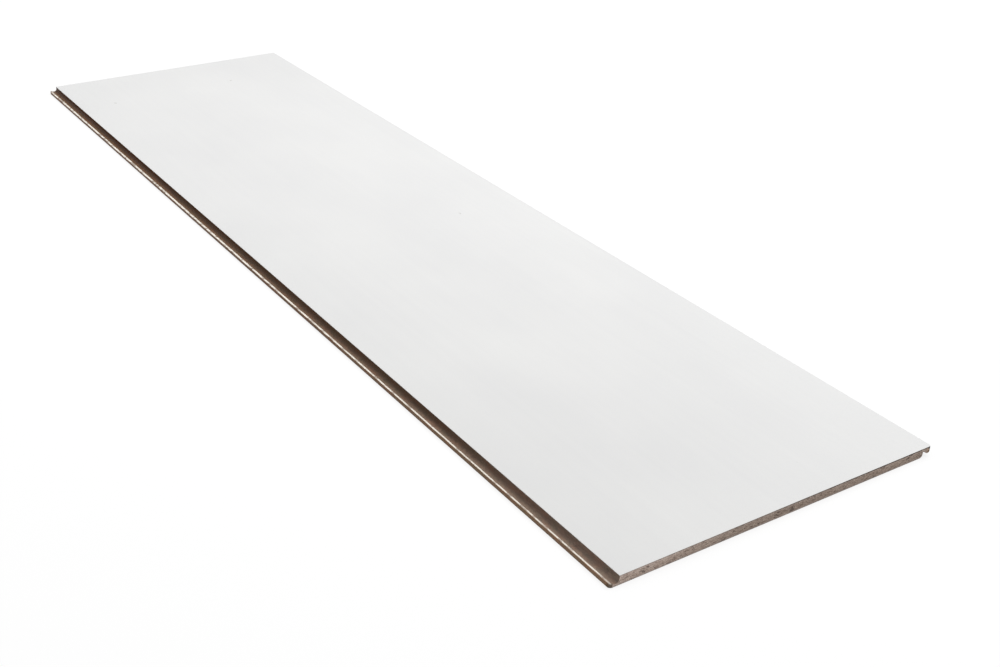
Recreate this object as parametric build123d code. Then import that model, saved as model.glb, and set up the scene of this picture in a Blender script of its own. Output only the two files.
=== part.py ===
# Chipboard wall panel: one sheet, milled along both long edges so that panels hook together.
# Frame: +X along the length, +Y across the face, +Z out of the white face. The back lies on z = 0,
# and the origin is under the middle of the panel's outline, lower lip included.
# The lower lip runs along the -Y edge and the hook along the +Y edge. Millimetres.
import os

from build123d import *

# Sheet
panel_length = 2390.0
face_width = 620.0
thickness = 16.0

# Lower lip: the tongue left under the face on the -Y edge
lip_reach = 17.5
wall_undercut = 0.5
ridge_rise = 2.4
ridge_width = 3.8
ridge_run = 4.2
ridge_foot_radius = 4.0
ridge_crest_radius = 1.6
lip_nose_radius = 1.6
lip_heel_radius = 1.0

# Hook: the upper lip on the +Y edge, which drops over the next panel's lower lip
hook_depth = 11.2
bead_width = 9.5
bead_nose_radius = 6.0
bead_heel_radius = 4.0
root_radius = 1.2
back_corner_radius = 6.0

# Room left in the joint
channel_clearance = 0.3
lip_end_gap = 1.0
ridge_room = 4.1

# Eased corners: how far back each starts, and how much flatter its arc is than a full round
face_arris_radius = 0.6
lip_corner_ease = 6.0
hook_corner_ease = 4.0
corner_flatness = 1.1

# Levels of the joint, all taken from the face
bead_level = thickness - hook_depth
channel_level = bead_level - channel_clearance
ridge_level = channel_level + ridge_rise
root_level = ridge_level + ridge_room

# The bead's round nose turns in the cove at the foot of the wall
cove_radius = bead_nose_radius + channel_clearance

# Places across the panel
outline_width = lip_reach + face_width
lip_tip_y = -outline_width / 2
face_lip_y = lip_tip_y + lip_reach
face_hook_y = face_lip_y + face_width
recess_wall_y = face_hook_y - lip_reach - lip_end_gap
ridge_crest_y = lip_tip_y + ridge_width


def section():
    """Cross-section of the panel as (y, z) corners with their radii, anticlockwise from +X."""
    corners = [
        ((lip_tip_y, 0), lip_heel_radius),
        ((recess_wall_y, 0), back_corner_radius),
        ((recess_wall_y, root_level), root_radius),
        ((face_hook_y - bead_width, bead_level), bead_heel_radius),
        ((face_hook_y, bead_level), bead_nose_radius),
        ((face_hook_y, thickness), face_arris_radius),
        ((face_lip_y, thickness), face_arris_radius),
        ((face_lip_y + wall_undercut, channel_level), cove_radius),
        ((ridge_crest_y + ridge_run, channel_level), ridge_foot_radius),
        ((ridge_crest_y, ridge_level), ridge_crest_radius),
        ((lip_tip_y, ridge_level), lip_nose_radius),
    ]
    points = [point for point, _ in corners]
    radii = [radius for _, radius in corners]
    return Plane.YZ * make_face(FilletPolyline(*points, radius=radii, close=True))


def plan_outline():
    """Outline seen from above, anticlockwise, each corner eased by an arc between its two sides."""
    half_length = panel_length / 2
    corners = [
        (Vector(-half_length, lip_tip_y), lip_corner_ease),
        (Vector(half_length, lip_tip_y), lip_corner_ease),
        (Vector(half_length, face_hook_y), hook_corner_ease),
        (Vector(-half_length, face_hook_y), hook_corner_ease),
    ]
    arcs = []
    for number, (corner, ease) in enumerate(corners):
        before = corners[number - 1][0]
        after = corners[(number + 1) % len(corners)][0]
        start = corner + (before - corner).normalized() * ease
        end = corner + (after - corner).normalized() * ease
        arcs.append(RadiusArc(start, end, -ease * corner_flatness))
    sides = [Line(arcs[number - 1] @ 1, arc @ 0) for number, arc in enumerate(arcs)]
    return make_face(arcs + sides)


def wall_panel():
    """The milled sheet: the section run along the length, cut to the outline."""
    milled = extrude(section(), amount=panel_length / 2, both=True)
    sawn = extrude(plan_outline(), amount=thickness)
    return milled & sawn


os.makedirs("parts", exist_ok=True)
export_step(wall_panel(), "parts/wall_panel.step")
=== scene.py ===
from math import atan2, ceil, cos, radians, sin, sqrt, tan

import bmesh
import bpy
from mathutils import Matrix, Vector


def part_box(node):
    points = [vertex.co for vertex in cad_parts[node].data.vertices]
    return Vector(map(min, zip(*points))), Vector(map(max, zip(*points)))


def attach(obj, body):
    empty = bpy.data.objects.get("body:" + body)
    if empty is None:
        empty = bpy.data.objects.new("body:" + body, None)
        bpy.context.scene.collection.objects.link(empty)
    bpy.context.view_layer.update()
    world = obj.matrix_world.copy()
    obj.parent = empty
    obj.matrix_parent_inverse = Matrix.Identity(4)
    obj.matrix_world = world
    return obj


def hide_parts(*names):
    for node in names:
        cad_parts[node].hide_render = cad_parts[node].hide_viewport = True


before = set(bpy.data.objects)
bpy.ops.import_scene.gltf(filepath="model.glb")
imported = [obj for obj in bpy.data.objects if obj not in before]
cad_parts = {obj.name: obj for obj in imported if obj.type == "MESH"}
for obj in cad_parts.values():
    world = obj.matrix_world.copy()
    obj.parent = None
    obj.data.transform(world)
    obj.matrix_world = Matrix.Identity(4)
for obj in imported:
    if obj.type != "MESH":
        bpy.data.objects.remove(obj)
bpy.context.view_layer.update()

# Chipboard wall panel, lying on its back: +X along its length, the lower lip along -Y, the hook along
# +Y and the white face up. Metres.
panel_low, panel_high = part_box("wall_panel")

MM = 0.001
TOUCH = 0.01 * MM

# Sheet, from the frame
half_length = panel_high.x
thickness = panel_high.z
lip_tip_y = panel_low.y
face_hook_y = panel_high.y

# Lower lip along the -Y edge
lip_reach = 17.5 * MM
wall_undercut = 0.5 * MM
ridge_rise = 2.4 * MM
ridge_width = 3.8 * MM
ridge_run = 4.2 * MM
ridge_foot_radius = 4.0 * MM
ridge_crest_radius = 1.6 * MM
lip_nose_radius = 1.6 * MM
lip_heel_radius = 1.0 * MM

# Hook along the +Y edge, and the room left in the joint
hook_depth = 11.2 * MM
bead_width = 9.5 * MM
bead_nose_radius = 6.0 * MM
bead_heel_radius = 4.0 * MM
root_radius = 1.2 * MM
back_corner_radius = 6.0 * MM
channel_clearance = 0.3 * MM
lip_end_gap = 1.0 * MM
ridge_room = 4.1 * MM

# Eased corners
face_arris_radius = 0.6 * MM
lip_corner_ease = 6.0 * MM
hook_corner_ease = 4.0 * MM
corner_flatness = 1.1
corner_cuts = 5

# Levels and places that follow from them
bead_level = thickness - hook_depth
channel_level = bead_level - channel_clearance
ridge_level = channel_level + ridge_rise
root_level = ridge_level + ridge_room
cove_radius = bead_nose_radius + channel_clearance
face_lip_y = lip_tip_y + lip_reach
recess_wall_y = face_hook_y - lip_reach - lip_end_gap
ridge_crest_y = lip_tip_y + ridge_width

# How finely the board is divided
arc_step = radians(15)
length_steps = (20, 20)
sawn_border = 0.3 * MM
sawn_step_y = 1.5 * MM
sawn_step_z = 1.3 * MM
crease_angle = radians(35)

# How squarely a face has to lie to belong to a sawn end, to the back or to the coat
end_squareness = 0.999
back_squareness = 0.99
coat_squareness = 0.2

# Relief that saw and cutter leave, all of it inwards
torn_chip_depth = 0.45 * MM
torn_chip_size = 1.4 * MM
torn_chip_spread = (1.0, 3.0, 1.0)
milling_waver = 0.18 * MM
milling_wave_length = 14.0 * MM

# Material slots of the panel, in order
COAT, MILLED, SAWN, BACK = range(4)

# Baked map: the height of each finish's rows and the gap between them, as shares of the map
map_row_height = {COAT: 0.26, MILLED: 0.085, SAWN: 0.12, BACK: 0.26}
map_gap = 0.008


# Modelling


def pick(kind, wanted):
    """Selects the shown vertices, edges or faces in edit mode that wanted() accepts, and nothing else."""
    bpy.ops.mesh.select_mode(type=kind)
    bpy.ops.mesh.select_all(action="DESELECT")
    mesh = bmesh.from_edit_mesh(bpy.context.object.data)
    parts = {"VERT": mesh.verts, "EDGE": mesh.edges, "FACE": mesh.faces}[kind]
    for part in parts:
        if not part.hide and wanted(part):
            part.select = True
    mesh.select_flush_mode()
    bmesh.update_edit_mesh(bpy.context.object.data)


def section_corners():
    """The board's cross-section: (y, z) of each corner with its radius, anticlockwise seen from +X."""
    return [
        ((lip_tip_y, 0), lip_heel_radius),
        ((recess_wall_y, 0), back_corner_radius),
        ((recess_wall_y, root_level), root_radius),
        ((face_hook_y - bead_width, bead_level), bead_heel_radius),
        ((face_hook_y, bead_level), bead_nose_radius),
        ((face_hook_y, thickness), face_arris_radius),
        ((face_lip_y, thickness), face_arris_radius),
        ((face_lip_y + wall_undercut, channel_level), cove_radius),
        ((ridge_crest_y + ridge_run, channel_level), ridge_foot_radius),
        ((ridge_crest_y, ridge_level), ridge_crest_radius),
        ((lip_tip_y, ridge_level), lip_nose_radius),
    ]


def turn_at(before, corner, after):
    """The angle by which the outline turns at a corner."""
    into = Vector(corner) - Vector(before)
    out = Vector(after) - Vector(corner)
    return abs(atan2(into.x * out.y - into.y * out.x, into.dot(out)))


def draw_section():
    """Draws the section corner by corner at the -X end, fills it and rounds its corners."""
    corners = section_corners()
    places = [Vector((-half_length, *corner)) for corner, _ in corners]
    bpy.ops.mesh.primitive_plane_add(size=MM, location=places[0])
    bpy.ops.object.transform_apply(location=True)
    bpy.ops.object.mode_set(mode="EDIT")
    bpy.ops.mesh.merge(type="CENTER")
    for here, there in zip(places, places[1:]):
        bpy.ops.mesh.extrude_region_move(TRANSFORM_OT_translate={"value": there - here})
    pick("VERT", lambda v: min((v.co - places[end]).length for end in (0, -1)) < TOUCH)
    bpy.ops.mesh.edge_face_add()
    bpy.ops.mesh.select_all(action="SELECT")
    bpy.ops.mesh.edge_face_add()
    for number, (corner, radius) in enumerate(corners):
        before = corners[number - 1][0]
        after = corners[(number + 1) % len(corners)][0]
        turn = turn_at(before, corner, after)
        pick("VERT", lambda v: (v.co - places[number]).length < TOUCH)
        bpy.ops.mesh.bevel(
            offset=radius * tan(turn / 2),
            offset_type="ABSOLUTE",
            affect="VERTICES",
            segments=max(2, ceil(turn / arc_step)),
            profile=0.5,
            clamp_overlap=False,
        )


def run_out_length():
    """Runs the section out to the panel's length and divides it into rings."""
    bpy.ops.mesh.select_all(action="SELECT")
    bpy.ops.mesh.extrude_region_move(TRANSFORM_OT_translate={"value": (2 * half_length, 0, 0)})
    bpy.ops.mesh.select_all(action="SELECT")
    bpy.ops.mesh.normals_make_consistent(inside=False)
    for steps in length_steps:
        pick("EDGE", lambda e: abs(e.verts[0].co.x - e.verts[1].co.x) > TOUCH)
        bpy.ops.mesh.subdivide(number_cuts=steps - 1)


def ease_corners():
    """Trims the four corners of the outline with a few upright cuts that follow an arc."""
    for end in (-1, 1):
        for tip_y, side, ease in ((lip_tip_y, -1, lip_corner_ease), (face_hook_y, 1, hook_corner_ease)):
            radius = ease * corner_flatness
            inset = (ease + sqrt(2 * radius ** 2 - ease ** 2)) / 2
            centre = Vector((end * (half_length - inset), tip_y - side * inset, 0))
            first = atan2(inset - ease, inset)
            step = (radians(90) - 2 * first) / corner_cuts
            for cut in range(corner_cuts):
                angle = first + step * (cut + 0.5)
                outwards = Vector((end * cos(angle), side * sin(angle), 0))
                bpy.ops.mesh.select_all(action="SELECT")
                bpy.ops.mesh.bisect(
                    plane_co=centre + outwards * radius * cos(step / 2),
                    plane_no=outwards,
                    use_fill=True,
                    clear_outer=True,
                    threshold=TOUCH,
                )


def surface_of(face):
    """Which of the panel's finishes a face carries."""
    level = face.calc_center_median().z
    if abs(face.normal.x) > end_squareness:
        return SAWN
    if level > thickness - face_arris_radius and face.normal.z > coat_squareness:
        return COAT
    if level < TOUCH and face.normal.z < -back_squareness:
        return BACK
    return MILLED


def give_finishes(panel, finishes):
    """Gives every face of the panel its finish."""
    for slot, finish in enumerate(finishes):
        panel.data.materials.append(finish)
        pick("FACE", lambda f: surface_of(f) == slot)
        panel.active_material_index = slot
        bpy.ops.object.material_slot_assign()


def name_group(panel, name):
    """Keeps the selected vertices under a name."""
    bpy.ops.object.vertex_group_assign_new()
    panel.vertex_groups.active.name = name


def cut_in_strips(across, low, high, step):
    """Cuts the shown faces into strips about one step wide, along a direction from low to high."""
    strips = int((high - low) / step)
    for cut in range(1, strips):
        bpy.ops.mesh.select_all(action="SELECT")
        bpy.ops.mesh.bisect(plane_co=across * (low + (high - low) * cut / strips), plane_no=across)


def meets_other_finish(face):
    """Whether a face touches one with another finish."""
    return any(other.material_index != face.material_index for v in face.verts for other in v.link_faces)


def divide_ends(panel):
    """Divides the sawn ends inside a narrow border, names their inner vertices and divides the border."""
    pick("FACE", lambda f: surface_of(f) == SAWN)
    bpy.ops.mesh.inset(thickness=sawn_border)
    bpy.ops.mesh.hide(unselected=True)
    cut_in_strips(Vector((0, 1, 0)), lip_tip_y, face_hook_y, sawn_step_y)
    cut_in_strips(Vector((0, 0, 1)), 0, thickness, sawn_step_z)
    pick("VERT", lambda v: not any(face.hide for face in v.link_faces))
    name_group(panel, "sawn")
    bpy.ops.mesh.reveal(select=False)
    pick("FACE", lambda f: surface_of(f) == SAWN and len(f.verts) > 4 and meets_other_finish(f))
    bpy.ops.mesh.poke()


def map_row(face):
    """The row of the baked map that a face lies in: its finish, and which end or edge it is on."""
    place = face.calc_center_median()
    if face.material_index == SAWN:
        return SAWN, place.x > 0
    if face.material_index == MILLED:
        return MILLED, place.y > 0
    return face.material_index, True


def laid_flat(finish, place):
    """Where a point of a finish lies along and across its row, before the row is fitted to the map."""
    if finish == SAWN:
        return place.y, place.z
    if finish == MILLED:
        return place.x, place.y + place.z
    return place.x, place.y


def lay_out_map():
    """Lays the finishes out for baking, row above row: the ends and edges large, the two flats smaller."""
    mesh = bmesh.from_edit_mesh(bpy.context.object.data)
    layer = mesh.loops.layers.uv.new("OFBake")
    rows = {}
    for face in mesh.faces:
        rows.setdefault(map_row(face), []).append(face)
    bottom = map_gap
    for (finish, _), faces in sorted(rows.items()):
        height = map_row_height[finish]
        loops = [loop for face in faces for loop in face.loops]
        places = [laid_flat(finish, loop.vert.co) for loop in loops]
        low = [min(place[axis] for place in places) for axis in (0, 1)]
        high = [max(place[axis] for place in places) for axis in (0, 1)]
        for loop, (along, across) in zip(loops, places):
            u = map_gap + (1 - 2 * map_gap) * (along - low[0]) / (high[0] - low[0])
            v = bottom + height * (across - low[1]) / (high[1] - low[1])
            loop[layer].uv = (u, v)
        bottom += height + map_gap
    bmesh.update_edit_mesh(bpy.context.object.data)


def take(piece):
    """Makes one piece the selected and active one."""
    bpy.ops.object.select_all(action="DESELECT")
    piece.select_set(True)
    bpy.context.view_layer.objects.active = piece


def press_in(panel, group, texture, depth, guide=None):
    """Presses a group of vertices inwards by up to depth, as a texture says."""
    bpy.ops.object.modifier_add(type="DISPLACE")
    relief = panel.modifiers[-1]
    relief.texture = texture
    relief.vertex_group = group
    relief.strength = depth
    relief.mid_level = 1
    relief.texture_coords = "OBJECT" if guide else "LOCAL"
    relief.texture_coords_object = guide
    bpy.ops.object.modifier_apply(modifier=relief.name)


def roughen(panel):
    """Tears chips out of the sawn ends, and lets the milled edges waver a little."""
    chips = bpy.data.textures.new("torn_chips", "VORONOI")
    chips.noise_scale = torn_chip_size
    chips.color_mode = "POSITION"
    bpy.ops.object.empty_add(location=(0, 0, 0))
    guide = bpy.context.object
    guide.scale = torn_chip_spread
    bpy.context.view_layer.update()
    take(panel)
    press_in(panel, "sawn", chips, torn_chip_depth, guide)
    waver = bpy.data.textures.new("milling_waver", "CLOUDS")
    waver.noise_scale = milling_wave_length
    press_in(panel, "milled", waver, milling_waver)
    bpy.data.objects.remove(guide)


def make_panel(finishes):
    """The board with its milled edges, sawn ends, coated face and plain back."""
    bpy.ops.object.select_all(action="DESELECT")
    draw_section()
    panel = bpy.context.object
    panel.name = "chipboard_panel"
    panel.data.name = "chipboard_panel"
    run_out_length()
    ease_corners()
    give_finishes(panel, finishes)
    pick("VERT", lambda v: all(face.material_index == MILLED for face in v.link_faces))
    name_group(panel, "milled")
    divide_ends(panel)
    lay_out_map()
    bpy.ops.object.mode_set(mode="OBJECT")
    roughen(panel)
    bpy.ops.object.shade_smooth_by_angle(angle=crease_angle)
    bpy.ops.object.modifier_add(type="WEIGHTED_NORMAL")
    panel.modifiers[-1].keep_sharp = True
    bpy.ops.object.modifier_apply(modifier=panel.modifiers[-1].name)
    return panel


# Finishes. Pairs named reach, band, rim or edge are where a smooth step starts and ends.

# How far a chip's outline is bent, as a share of the chip, and the noise that bends it
chip_bend = 1.6
bend_scale = 0.8
bend_detail = 3.0


def srgb(red, green, blue):
    """A colour written as 0 to 255 on a screen, as the shader takes it."""
    def linear(value):
        value /= 255
        return value / 12.92 if value <= 0.04045 else ((value + 0.055) / 1.055) ** 2.4
    return linear(red), linear(green), linear(blue), 1


def grey(value):
    """A plain factor as a colour."""
    return value, value, value, 1


class Finish:
    """A material on the panel's own coordinates, drawn node by node."""

    def __init__(self, name):
        self.material = bpy.data.materials.new(name)
        self.material.use_nodes = True
        self.tree = self.material.node_tree
        self.shader = self.tree.nodes["Principled BSDF"]
        self.place = self.add("TexCoord").outputs["Object"]
        self.x, self.y, self.z = self.add("SeparateXYZ", {"Vector": self.place}).outputs

    def add(self, kind, sockets=None, **settings):
        """A node of that kind, with its settings, and its sockets set or linked."""
        node = self.tree.nodes.new("ShaderNode" + kind)
        for name, value in settings.items():
            setattr(node, name, value)
        for key, value in (sockets or {}).items():
            self.feed(value, node.inputs[key])
        return node

    def feed(self, value, socket):
        """Links a socket to another's value, or sets it."""
        if isinstance(value, bpy.types.NodeSocket):
            self.tree.links.new(value, socket)
        else:
            socket.default_value = value

    def sums(self, operation, *values):
        """The result of one sum."""
        return self.add("Math", dict(enumerate(values)), operation=operation).outputs[0]

    def stretched(self, size, shift=(0, 0, 0), place=None):
        """Coordinates in which a pattern of unit size gets the given size in metres."""
        scale = [1 / length for length in size]
        sockets = {"Vector": place or self.place, "Location": shift, "Scale": scale}
        return self.add("Mapping", sockets).outputs[0]

    def cloud(self, size, detail=2.0, shift=(0, 0, 0)):
        """Soft noise from 0 to 1, of the given size along each axis."""
        sockets = {"Vector": self.stretched(size, shift), "Scale": 1.0, "Detail": detail}
        return self.add("TexNoise", sockets).outputs["Fac"]

    def between(self, value, low, high, to_low=0.0, to_high=1.0):
        """A smooth step of a value from to_low at low to to_high at high."""
        sockets = {"Value": value, "From Min": low, "From Max": high, "To Min": to_low, "To Max": to_high}
        return self.add("MapRange", sockets, interpolation_type="SMOOTHSTEP").outputs["Result"]

    def ramp(self, factor, stops):
        """A colour from a row of (place, colour) stops."""
        node = self.add("ValToRGB", {"Fac": factor})
        elements = node.color_ramp.elements
        while len(elements) < len(stops):
            elements.new(1.0)
        for element, (place, colour) in zip(elements, stops):
            element.position = place
            element.color = colour
        return node.outputs["Color"]

    def mix(self, factor, first, second, blend="MIX"):
        """Two colours mixed."""
        node = self.add("Mix", data_type="RGBA", blend_type=blend)
        for value, index in ((factor, 0), (first, 6), (second, 7)):
            self.feed(value, node.inputs[index])
        return node.outputs[2]

    def chips(self, size, shift=(0, 0, 0)):
        """Pressed chips of one size: a random number for each chip, and the nearness of its rim."""
        sockets = {"Vector": self.stretched(size, shift), "Scale": bend_scale, "Detail": bend_detail}
        drift = self.add("TexNoise", sockets)
        sockets = {0: drift.outputs["Color"], 1: (0.5, 0.5, 0.5)}
        offset = self.add("VectorMath", sockets, operation="SUBTRACT").outputs[0]
        bend = [chip_bend * length for length in size]
        bent = self.add("VectorMath", {0: offset, 1: bend}, operation="MULTIPLY").outputs[0]
        place = self.add("VectorMath", {0: self.place, 1: bent}, operation="ADD").outputs[0]
        vector = self.stretched(size, shift, place)
        cell = self.add("TexVoronoi", {"Vector": vector, "Scale": 1.0})
        rim = self.add("TexVoronoi", {"Vector": vector, "Scale": 1.0}, feature="DISTANCE_TO_EDGE")
        tint = self.add("SeparateColor", {"Color": cell.outputs["Color"]}).outputs[0]
        return tint, rim.outputs["Distance"]

    def bump(self, height, depth, under=None):
        """Relief of the given depth in metres, over other relief."""
        sockets = {"Height": height, "Distance": depth, "Strength": 1.0}
        if under:
            sockets["Normal"] = under
        return self.add("Bump", sockets).outputs["Normal"]


# Raw chipboard: flat chips, coarse in the middle and fine near the faces
CORE_CHIP = (7.5 * MM, 6.0 * MM, 1.2 * MM)
FINE_CHIP = (2.2 * MM, 1.8 * MM, 0.5 * MM)
SPECK = (6.0 * MM, 5.0 * MM, 1.8 * MM)
LARGE_SPECK = (12.0 * MM, 9.5 * MM, 3.6 * MM)
DUST = (0.9 * MM, 0.8 * MM, 0.3 * MM)
RAGGED_LAYER = (4.0 * MM, 4.0 * MM, 2.0 * MM)
FINE_PATCH = (3.0 * MM, 3.0 * MM, 1.2 * MM)
surface_layer = 2.6 * MM
layer_blend = 1.2 * MM
fine_patch_edge = (0.56, 0.62)
raised_rim = (0.0, 0.12)
speck_rim = (0.03, 0.16)
fine_relief = 0.4

CORE_TONES = [
    (0.0, srgb(124, 105, 92)),
    (0.15, srgb(158, 137, 123)),
    (0.5, srgb(180, 160, 146)),
    (0.85, srgb(196, 177, 162)),
    (1.0, srgb(212, 194, 177)),
]
FINE_TONES = [
    (0.0, srgb(138, 119, 106)),
    (0.3, srgb(168, 148, 135)),
    (0.7, srgb(184, 164, 150)),
    (1.0, srgb(200, 181, 166)),
]
DUST_SHADES = [(0.3, grey(0.84)), (0.7, grey(1.06))]
SPECK_TONE = srgb(72, 57, 48)


def board_colour(finish):
    """Raw chipboard, cut at any angle: its colour, its relief and the nearness of the coarse chips' rims."""
    core, core_rim = finish.chips(CORE_CHIP)
    fine, _ = finish.chips(FINE_CHIP, shift=(3.1, 1.7, 0.4))
    from_middle = finish.sums("ABSOLUTE", finish.sums("SUBTRACT", finish.z, thickness / 2))
    depth = finish.sums("MULTIPLY_ADD", finish.cloud(RAGGED_LAYER), layer_blend, from_middle)
    layer_start = thickness / 2 - surface_layer
    layer = finish.between(depth, layer_start, layer_start + layer_blend)
    some_fine = finish.between(finish.cloud(FINE_PATCH, detail=1, shift=(5, 2, 1)), *fine_patch_edge)
    fine_share = finish.sums("MAXIMUM", layer, some_fine)
    colour = finish.mix(fine_share, finish.ramp(core, CORE_TONES), finish.ramp(fine, FINE_TONES))
    colour = finish.mix(1.0, colour, finish.ramp(finish.cloud(DUST), DUST_SHADES), "MULTIPLY")
    raised = finish.between(core_rim, *raised_rim)
    height = finish.sums("MULTIPLY_ADD", raised, core, finish.sums("MULTIPLY", fine, fine_relief))
    return colour, height, core_rim


def specks(finish, size, share):
    """A share of the chips of one size, picked at random: 1 inside such a chip, 0 outside."""
    draw, rim = finish.chips(size, shift=(7.3, 2.9, 5.1))
    chosen = finish.sums("LESS_THAN", draw, share)
    return finish.sums("MULTIPLY", chosen, finish.between(rim, *speck_rim))


# White coat
COAT_BLOTCH = (420.0 * MM, 260.0 * MM, 1.0)
COAT_STREAK = (900.0 * MM, 14.0 * MM, 1.0)
COAT_FLECK = (2.2 * MM, 2.2 * MM, 2.2 * MM)
COAT_MARK = (7.0 * MM, 5.0 * MM, 7.0 * MM)
CHIPS_SHOWING = (6.0 * MM, 5.0 * MM, 6.0 * MM)
COAT_PEEL = (0.9 * MM, 0.9 * MM, 0.9 * MM)
COAT_TONES = [(0.45, srgb(229, 229, 229)), (1.0, srgb(236, 236, 235))]
COAT_MARK_TONE = srgb(205, 204, 201)
coat_mark_share = 0.0002
streak_share = 0.25
fleck_share = 0.2
coat_tone_reach = (0.4, 1.05)
coat_roughness = (0.42, 0.52)
coat_shine = 0.25
chips_showing_depth = 0.03 * MM
peel_depth = 0.01 * MM


def white_coat():
    """Satin white coat, with faint blotches, a few marks, streaks from the coating line and a fine peel."""
    finish = Finish("white_coat")
    blotch = finish.cloud(COAT_BLOTCH, detail=3)
    flecked = finish.sums("MULTIPLY_ADD", finish.cloud(COAT_FLECK), fleck_share, blotch)
    tone = finish.sums("MULTIPLY_ADD", finish.cloud(COAT_STREAK, shift=(2, 5, 0)), streak_share, flecked)
    marks = specks(finish, COAT_MARK, coat_mark_share)
    colour = finish.mix(marks, finish.ramp(tone, COAT_TONES), COAT_MARK_TONE)
    finish.feed(colour, finish.shader.inputs["Base Color"])
    uneven = finish.between(tone, *coat_tone_reach, *coat_roughness)
    finish.feed(uneven, finish.shader.inputs["Roughness"])
    finish.shader.inputs["Specular IOR Level"].default_value = coat_shine
    showing = finish.bump(finish.cloud(CHIPS_SHOWING), chips_showing_depth)
    peel = finish.bump(finish.cloud(COAT_PEEL), peel_depth, showing)
    finish.feed(peel, finish.shader.inputs["Normal"])
    return finish.material


# Sealer along the milled edges from the -X end to the +X end, at the foot of the wall and by the ridge; the
# darker tones at the foot of the wall are painted shade
SEALER_AND_SHADE_BY_WALL = [
    (0.2, srgb(69, 45, 27)),
    (0.55, srgb(81, 64, 50)),
    (0.8, srgb(89, 73, 61)),
    (1.0, srgb(125, 112, 104)),
]
SEALED_BY_RIDGE = [
    (0.2, srgb(115, 90, 70)),
    (0.6, srgb(121, 101, 86)),
    (1.0, srgb(147, 133, 122)),
]
# Painted shade on the lip's outer face, which also turns it browner
NOSE_PAINTED_SHADE = [(0.0, grey(1)), (1.0, (0.72, 0.6, 0.47, 1))]
MOTTLE = [(0.32, (1.1, 0.97, 0.92, 1)), (0.5, grey(1)), (0.68, (0.93, 1.01, 0.97, 1))]
MOTTLE_PATCH = (26.0 * MM, 9.0 * MM, 9.0 * MM)
SEALER_PATCH = (5.0 * MM, 3.0 * MM, 3.0 * MM)
wall_shade_reach = (0.5 * MM, 8.5 * MM)
nose_shade_reach = (lip_reach - 2.0 * MM, lip_reach - 0.4 * MM)
hook_reach = (0.0, 100.0 * MM)
hook_shade = 0.5
# Darker near the lip's corners at both ends
lip_corner_dark_reach = (3.5 * MM, 9.0 * MM)
lip_corner_darkness = 0.55
grain_share = 0.3
grain_gain = 3.2
sealer_patch_edge = (0.3, 0.7)
sealer_roughness = (0.34, 0.5)
sealer_shine = 0.06
sealer_relief = 0.04 * MM

# Painted highlight along the ridge's crest: how far out it runs, and its half width by the -X and +X ends
PAINTED_HIGHLIGHT_TONE = srgb(253, 246, 234)
PAINTED_HIGHLIGHT_WAVE = (34.0 * MM, 60.0 * MM, 60.0 * MM)
PAINTED_HIGHLIGHT_PATCH = (15.0 * MM, 9.0 * MM, 9.0 * MM)
highlight_out = 14.3 * MM
highlight_taper_reach = (0.3, 0.95)
highlight_half_width = (2.9 * MM, 1.5 * MM)
highlight_waver = 1.4 * MM
highlight_blend = (-0.5 * MM, 0.4 * MM)
highlight_level = (ridge_level - 1.4 * MM, ridge_level - 0.6 * MM)
highlight_patch_edge = (0.36, 0.52)
highlight_least = 0.3
highlight_end_reach = (2.0 * MM, 40.0 * MM)
highlight_end_share = 0.45


def sealer(finish, board, along, out, from_end):
    """The sealer's colour, with painted shade at the foot of the wall and on the lip's outer face, darker on
    the hook side and near the lip's corners, with the board showing.
    """
    # Painted shade: the sealer darkens from the ridge towards the foot of the wall
    sealer_with_shade = finish.mix(
        finish.between(out, *wall_shade_reach),
        finish.ramp(along, SEALER_AND_SHADE_BY_WALL),
        finish.ramp(along, SEALED_BY_RIDGE),
    )
    # Painted shade on the lip's outer face
    nose_shade_mask = finish.between(out, *nose_shade_reach)
    sealer_with_shade = finish.mix(1.0, sealer_with_shade, finish.ramp(nose_shade_mask, NOSE_PAINTED_SHADE), "MULTIPLY")
    mottle = finish.ramp(finish.cloud(MOTTLE_PATCH, detail=3, shift=(6, 3, 2)), MOTTLE)
    sealer_with_shade = finish.mix(1.0, sealer_with_shade, mottle, "MULTIPLY")
    hook = finish.between(finish.y, *hook_reach, 1.0, hook_shade)
    from_tip = finish.sums("SUBTRACT", lip_reach, out)
    apart = finish.add("CombineXYZ", {0: from_end, 1: from_tip}).outputs[0]
    apart = finish.add("VectorMath", {0: apart}, operation="LENGTH").outputs["Value"]
    # Darker near the lip's corners at both ends
    lip_corner_dark = finish.between(apart, *lip_corner_dark_reach, lip_corner_darkness, 1.0)
    darker = finish.sums("MULTIPLY", hook, lip_corner_dark)
    darker = finish.add("CombineColor", {0: darker, 1: darker, 2: darker}).outputs[0]
    sealer_with_shade = finish.mix(1.0, sealer_with_shade, darker, "MULTIPLY")
    grain = finish.mix(grain_share, grey(1), finish.mix(1.0, board, grey(grain_gain), "MULTIPLY"))
    return finish.mix(1.0, sealer_with_shade, grain, "MULTIPLY")


def painted_crest_highlight(finish, along, out, from_end):
    """A painted highlight along the ridge's crest: a wavering, broken pale line, weaker towards the ends."""
    off_line = finish.sums("SUBTRACT", out, highlight_out + highlight_waver / 2)
    wave = finish.cloud(PAINTED_HIGHLIGHT_WAVE, detail=3)
    off_line = finish.sums("ABSOLUTE", finish.sums("MULTIPLY_ADD", wave, highlight_waver, off_line))
    half_width = finish.between(along, *highlight_taper_reach, *highlight_half_width)
    past_edge = finish.sums("SUBTRACT", off_line, half_width)
    near_line = finish.between(past_edge, *highlight_blend, 1.0, 0.0)
    high = finish.between(finish.z, *highlight_level)
    broken = finish.between(finish.cloud(PAINTED_HIGHLIGHT_PATCH, detail=3), *highlight_patch_edge, highlight_least, 1.0)
    crest_highlight = finish.sums("MULTIPLY", finish.sums("MULTIPLY", near_line, high), broken)
    weaker = finish.between(from_end, *highlight_end_reach, highlight_end_share, 1.0)
    return finish.sums("MULTIPLY", crest_highlight, weaker)


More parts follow.
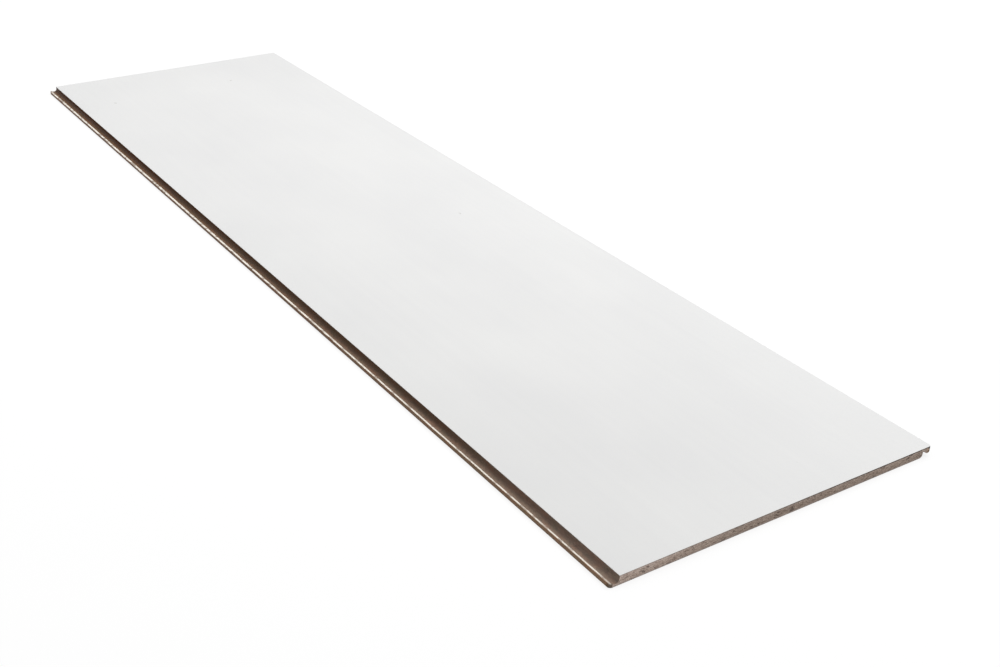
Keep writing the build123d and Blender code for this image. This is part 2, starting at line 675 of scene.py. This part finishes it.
def milled_edge():
    """Dark brown sealer on the milling, with a painted highlight along the ridge's crest."""
    finish = Finish("milled_edge")
    board, height, _ = board_colour(finish)
    along = finish.add("MapRange", {"Value": finish.x, "From Min": -half_length, "From Max": half_length})
    along = along.outputs["Result"]
    out = finish.sums("SUBTRACT", face_lip_y, finish.y)
    from_end = finish.sums("SUBTRACT", half_length, finish.sums("ABSOLUTE", finish.x))
    # Painted highlight along the ridge's crest
    crest_highlight = painted_crest_highlight(finish, along, out, from_end)
    colour = finish.mix(crest_highlight, sealer(finish, board, along, out, from_end), PAINTED_HIGHLIGHT_TONE)
    finish.feed(colour, finish.shader.inputs["Base Color"])
    uneven = finish.between(finish.cloud(SEALER_PATCH, detail=3), *sealer_patch_edge, *sealer_roughness)
    finish.feed(uneven, finish.shader.inputs["Roughness"])
    finish.shader.inputs["Specular IOR Level"].default_value = sealer_shine
    finish.feed(finish.bump(height, sealer_relief), finish.shader.inputs["Normal"])
    return finish.material


# Sawn ends: torn gaps and specks
TORN_PATCH = (5.0 * MM, 4.0 * MM, 1.5 * MM)
gap_rim = (0.02, 0.09)
torn_patch_edge = (0.54, 0.62)
torn_share = 0.75
END_SPECKS = ((SPECK, 0.09), (LARGE_SPECK, 0.1))
speck_reach = (face_lip_y + 3.0 * MM, face_lip_y + 15.0 * MM)
speck_strength = 0.7

# Sawn ends: paler towards the lip and at the top, warmer on the bead, and a pale band along the bottom that
# is a painted reflection of the floor
PALE_BY_LIP = [(0.0, (1.43, 1.46, 1.51, 1)), (1.0, grey(0.93))]
TOP_TINT = (1.18, 1.21, 1.26, 1)
BEAD_TINT = (1.3, 1.2, 1.04, 1)
FLOOR_REFLECTION_TONE = srgb(192, 178, 172)
pale_reach = (face_lip_y, face_lip_y + 260.0 * MM)
top_band = (thickness - 6.0 * MM, thickness - 2.0 * MM)
bead_reach = (face_hook_y - bead_width, face_hook_y - bead_width + 2.0 * MM)
floor_reflection_band = (0.4 * MM, 3.5 * MM)
floor_reflection_share = 0.55

# Sawn ends: the coat's edge, the dark line under it, and the sealer that crept round from the hook
COAT_EDGE_TONE = srgb(228, 227, 225)
LINE_TONE = srgb(70, 56, 47)
CREPT_TONE = srgb(58, 50, 45)
LINE_PATCH = (30.0 * MM, 22.0 * MM, 9.0 * MM)
coat_edge_band = (thickness - 0.3 * MM, thickness - 0.2 * MM)
line_level = thickness - 0.9 * MM
line_half_width = (0.9 * MM, 1.5 * MM)
line_reach = (-120.0 * MM, 180.0 * MM)
line_strength = (0.32, 1.0)
line_patch_edge = (0.3, 0.6)
line_least = 0.75
crept_reach = (face_hook_y - 8.0 * MM, face_hook_y - 5.0 * MM)
crept_band = (thickness - 5.0 * MM, thickness - 3.0 * MM)
sawn_roughness = 0.85
sawn_relief = 0.2 * MM


def specked(finish, board, core_rim):
    """The board's colour with dark gaps between some chips, and dark chips away from the lip."""
    gap = finish.between(core_rim, *gap_rim, 1.0, 0.0)
    torn = finish.between(finish.cloud(TORN_PATCH, shift=(1, 8, 2)), *torn_patch_edge, 0.0, torn_share)
    colour = finish.mix(finish.sums("MULTIPLY", gap, torn), board, SPECK_TONE)
    past_lip = finish.between(finish.y, *speck_reach, 0.0, speck_strength)
    for size, share in END_SPECKS:
        dark = finish.sums("MULTIPLY", specks(finish, size, share), past_lip)
        colour = finish.mix(dark, colour, SPECK_TONE)
    return colour


def shaded_end(finish, colour):
    """A sawn end's colour with its slow changes along and across the board, and a painted reflection of the
    floor along its bottom.
    """
    paler = finish.ramp(finish.between(finish.y, *pale_reach), PALE_BY_LIP)
    colour = finish.mix(1.0, colour, paler, "MULTIPLY")
    for share, tint in (
        (finish.between(finish.z, *top_band), TOP_TINT),
        (finish.between(finish.y, *bead_reach), BEAD_TINT),
    ):
        colour = finish.mix(share, colour, finish.mix(1.0, colour, tint, "MULTIPLY"))
    # Painted reflection of the floor along the bottom of the end
    return finish.mix(finish.between(finish.z, *floor_reflection_band, floor_reflection_share, 0.0), colour, FLOOR_REFLECTION_TONE)


def edge_of_coat(finish, colour):
    """A sawn end's colour with the coat's edge, the dark line under it and the sealer at the hook."""
    off_line = finish.sums("ABSOLUTE", finish.sums("SUBTRACT", line_level, finish.z))
    line = finish.between(off_line, *line_half_width, 1.0, 0.0)
    stronger = finish.between(finish.y, *line_reach, *line_strength)
    uneven = finish.between(finish.cloud(LINE_PATCH, shift=(4, 1, 6)), *line_patch_edge, line_least, 1.0)
    line = finish.sums("MULTIPLY", finish.sums("MULTIPLY", line, stronger), uneven)
    colour = finish.mix(finish.between(finish.z, *coat_edge_band), colour, COAT_EDGE_TONE)
    colour = finish.mix(line, colour, LINE_TONE)
    by_hook = finish.between(finish.y, *crept_reach)
    crept = finish.sums("MULTIPLY", by_hook, finish.between(finish.z, *crept_band))
    return finish.mix(crept, colour, CREPT_TONE)


def sawn_end():
    """Raw sawn chipboard, with dark specks, torn gaps between chips and a dark line under the coat."""
    finish = Finish("sawn_end")
    board, height, core_rim = board_colour(finish)
    colour = edge_of_coat(finish, shaded_end(finish, specked(finish, board, core_rim)))
    finish.feed(colour, finish.shader.inputs["Base Color"])
    finish.shader.inputs["Roughness"].default_value = sawn_roughness
    finish.feed(finish.bump(height, sawn_relief), finish.shader.inputs["Normal"])
    return finish.material


# Sanded back
BACK_DRIFT = (300.0 * MM, 160.0 * MM, 1.0)
BACK_SHADES = [(0.3, (0.9, 0.88, 0.86, 1)), (0.7, grey(1.08))]
back_speck_share = 0.05
back_speck_strength = 0.6
back_roughness = 0.75
back_relief = 0.04 * MM


def sanded_back():
    """The plain sanded back of the board: fine chips, with a few larger ones showing."""
    finish = Finish("sanded_back")
    board, height, _ = board_colour(finish)
    shade = finish.ramp(finish.cloud(BACK_DRIFT, detail=3), BACK_SHADES)
    colour = finish.mix(1.0, board, shade, "MULTIPLY")
    dark = finish.sums("MULTIPLY", specks(finish, SPECK, back_speck_share), back_speck_strength)
    colour = finish.mix(dark, colour, SPECK_TONE)
    finish.feed(colour, finish.shader.inputs["Base Color"])
    finish.shader.inputs["Roughness"].default_value = back_roughness
    finish.feed(finish.bump(height, back_relief), finish.shader.inputs["Normal"])
    return finish.material


# Studio

fill_light = 0.45
floor_size = 40
floor_drop = 0.2 * MM
floor_white = 0.92
floor_glow = 1.05
floor_glow_share = (0.8, 1.0)
floor_fade = (1.6, 3.5)

key_lamp = {"place": (0.35, 2.1, 3.2), "aim": (0, 0, 0), "size": 2.6, "power": 89}
far_lamp = {"place": (-1.6, -1.0, 2.6), "aim": (-0.6, 0, 0), "size": 2.0, "power": 19}

camera_place = (2.3419, -1.28765, 1.1881)
camera_aim = (0.5345, -0.05845, 0.016)
camera_roll = radians(1.543)
camera_lens = 50.04
camera_sensor = 36
camera_sight = 100


def is_looked_at(tree):
    """1 for rays from the camera and for reflections, 0 for rays that light the panel."""
    rays = tree.nodes.new("ShaderNodeLightPath").outputs
    total = rays["Is Camera Ray"]
    for name in ("Is Glossy Ray", "Is Transmission Ray"):
        larger = tree.nodes.new("ShaderNodeMath")
        larger.operation = "MAXIMUM"
        tree.links.new(total, larger.inputs[0])
        tree.links.new(rays[name], larger.inputs[1])
        total = larger.outputs[0]
    return total


def make_world():
    """White all round to the eye, and a softer fill on the panel."""
    world = bpy.data.worlds.new("studio")
    world.use_nodes = True
    tree = world.node_tree
    seen = is_looked_at(tree)
    level = tree.nodes.new("ShaderNodeMapRange")
    level.inputs["To Min"].default_value = fill_light
    level.inputs["To Max"].default_value = 1.0
    tree.links.new(seen, level.inputs["Value"])
    tree.nodes["Background"].inputs["Color"].default_value = (1, 1, 1, 1)
    tree.links.new(level.outputs[0], tree.nodes["Background"].inputs["Strength"])
    bpy.context.scene.world = world


def make_floor():
    """A pale floor that keeps the panel's shadow, and fades to plain white away from it."""
    bpy.ops.object.select_all(action="DESELECT")
    bpy.ops.mesh.primitive_plane_add(size=floor_size, location=(0, 0, -floor_drop))
    floor = bpy.context.object
    floor.name = "floor"
    paint = bpy.data.materials.new("pale_floor")
    paint.use_nodes = True
    tree = paint.node_tree
    tree.nodes.remove(tree.nodes["Principled BSDF"])
    matt = tree.nodes.new("ShaderNodeBsdfDiffuse")
    matt.inputs["Color"].default_value = (floor_white, floor_white, floor_white, 1)
    glow = tree.nodes.new("ShaderNodeEmission")
    glow.inputs["Strength"].default_value = floor_glow
    place = tree.nodes.new("ShaderNodeTexCoord")
    away = tree.nodes.new("ShaderNodeVectorMath")
    away.operation = "LENGTH"
    tree.links.new(place.outputs["Object"], away.inputs[0])
    glowing = tree.nodes.new("ShaderNodeMapRange")
    glowing.inputs["From Min"].default_value, glowing.inputs["From Max"].default_value = floor_fade
    glowing.inputs["To Min"].default_value, glowing.inputs["To Max"].default_value = floor_glow_share
    tree.links.new(away.outputs["Value"], glowing.inputs["Value"])
    share = tree.nodes.new("ShaderNodeMath")
    share.operation = "MULTIPLY"
    tree.links.new(glowing.outputs[0], share.inputs[1])
    tree.links.new(is_looked_at(tree), share.inputs[0])
    both = tree.nodes.new("ShaderNodeMixShader")
    tree.links.new(share.outputs[0], both.inputs["Fac"])
    tree.links.new(matt.outputs[0], both.inputs[1])
    tree.links.new(glow.outputs[0], both.inputs[2])
    tree.links.new(both.outputs[0], tree.nodes["Material Output"].inputs["Surface"])
    floor.data.materials.append(paint)


def facing(place, aim):
    """The turn that points a lamp or the camera from its place at another."""
    return (Vector(aim) - Vector(place)).to_track_quat("-Z", "Y")


def make_lamp(name, place, aim, size, power):
    """A soft square lamp that faces a point."""
    lamp = bpy.data.lights.new(name, "AREA")
    lamp.shape = "SQUARE"
    lamp.size = size
    lamp.energy = power
    holder = bpy.data.objects.new(name, lamp)
    bpy.context.collection.objects.link(holder)
    holder.location = place
    holder.rotation_euler = facing(place, aim).to_euler()


def make_camera(place, aim, roll, lens):
    """The camera, level but for a small roll."""
    data = bpy.data.cameras.new("camera")
    data.sensor_width = camera_sensor
    data.lens = lens
    data.clip_end = camera_sight
    camera = bpy.data.objects.new("camera", data)
    bpy.context.collection.objects.link(camera)
    turn = facing(place, aim).to_matrix().to_4x4()
    camera.matrix_world = Matrix.Translation(place) @ turn @ Matrix.Rotation(roll, 4, "Z")
    bpy.context.scene.camera = camera


panel = make_panel([white_coat(), milled_edge(), sawn_end(), sanded_back()])
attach(panel, "root")
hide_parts("wall_panel")

make_world()
make_floor()
make_lamp("key", **key_lamp)
make_lamp("far_fill", **far_lamp)
make_camera(camera_place, camera_aim, camera_roll, camera_lens)
bpy.context.scene.view_settings.view_transform = "Standard"
